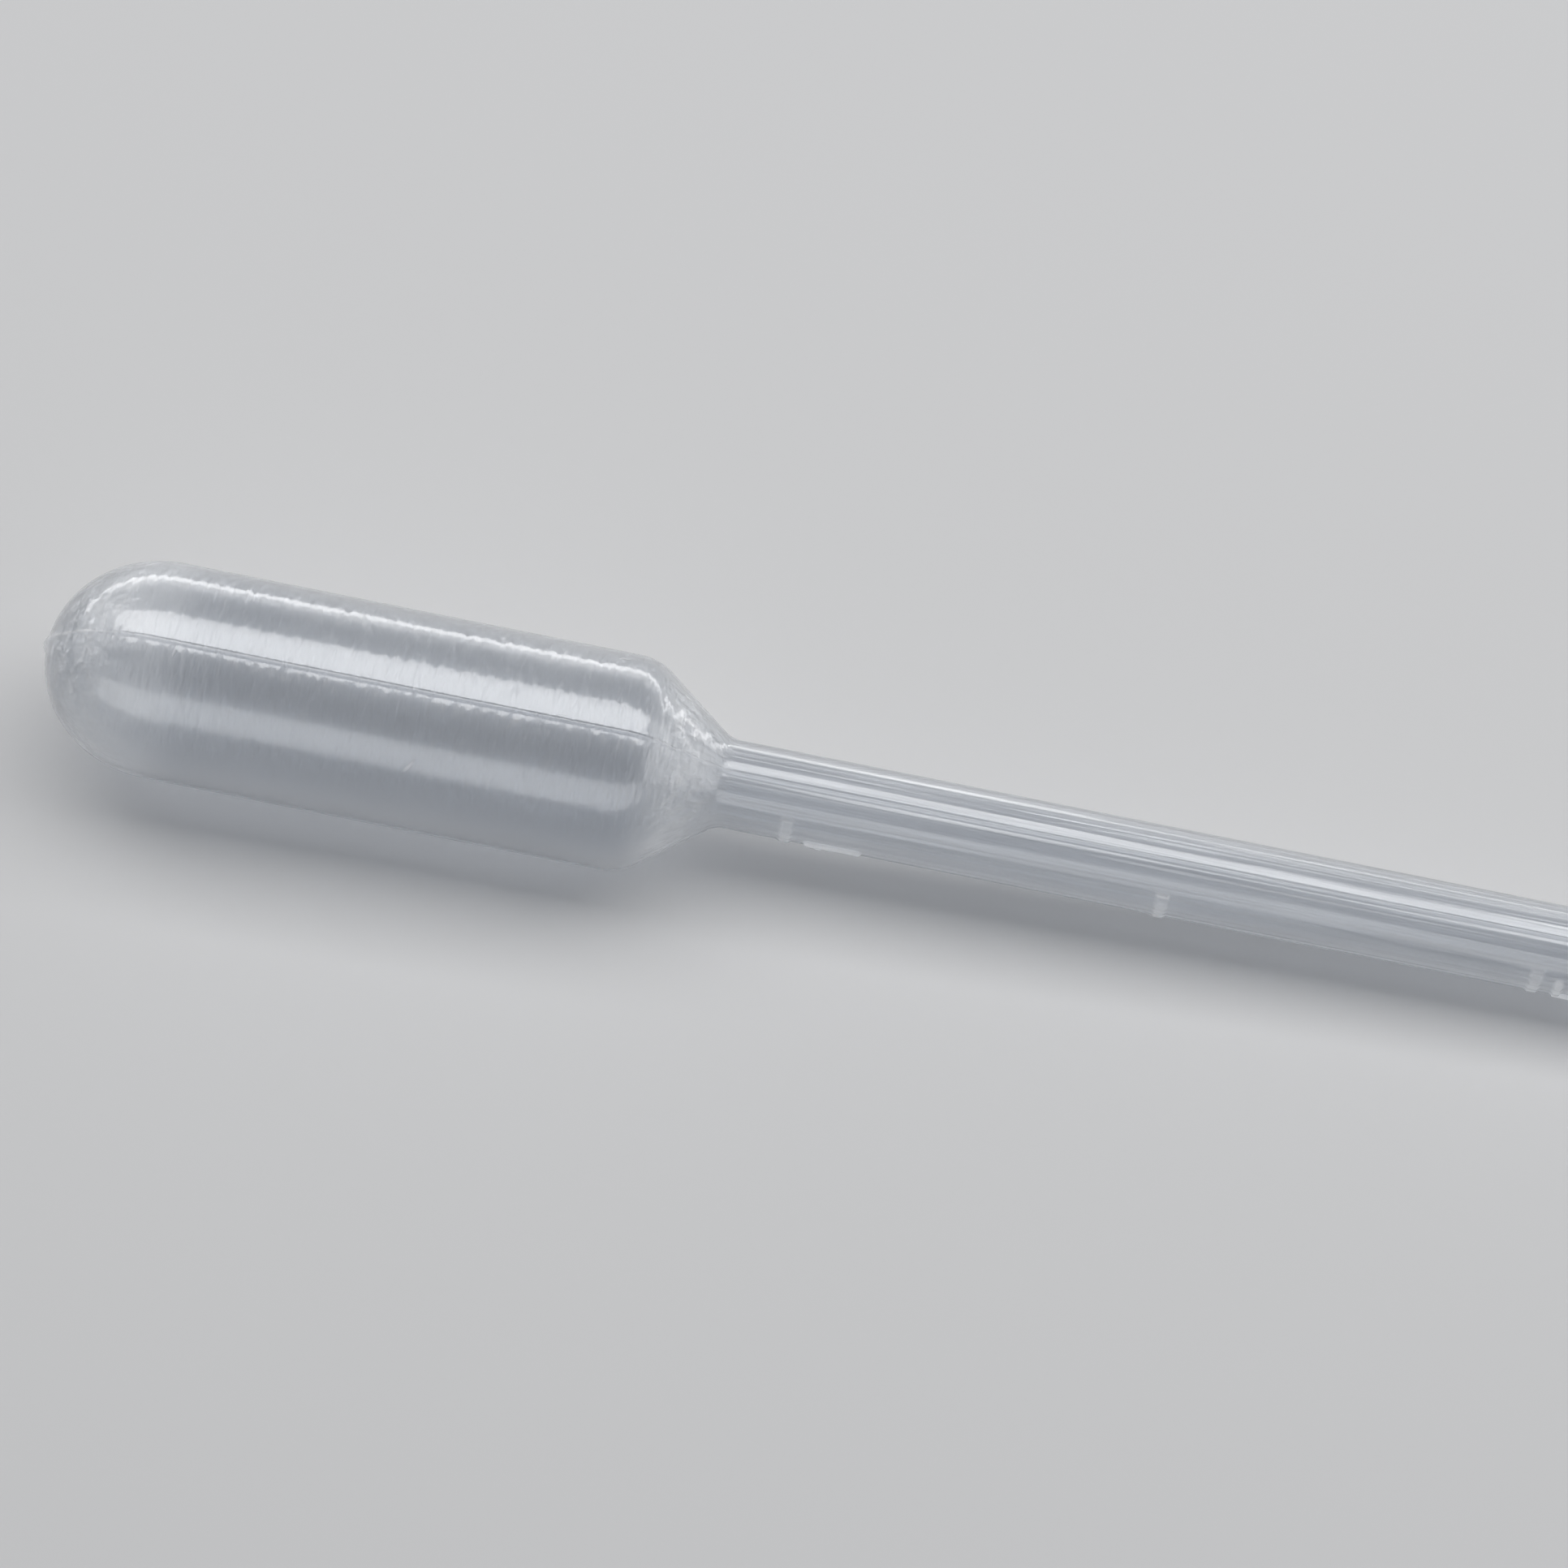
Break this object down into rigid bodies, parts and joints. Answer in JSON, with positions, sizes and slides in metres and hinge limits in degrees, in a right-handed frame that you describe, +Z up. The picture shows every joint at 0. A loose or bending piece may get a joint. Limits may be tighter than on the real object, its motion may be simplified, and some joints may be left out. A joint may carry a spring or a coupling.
{
  "type": "plastic dropper pipette",
  "caption": "Transfer pipette moulded in one piece, with a squeeze bulb, a graduated stem and a drawn tip, for moving and dosing small amounts of liquid.",
  "frame": {"origin": "below the middle of the bounding box, on the surface that the pipette lies on", "axes": "+X along the pipette from the bulb to the tip, to about 2 degrees, +Z up"},
  "size_m": [0.1552, 0.012, 0.0131],
  "materials": {
    "pipette": "translucent natural polyethylene, satin from fine mould striations"
  },
  "bodies": {
    "root": {"pipette": "pipette"}
  },
  "joints": []
}
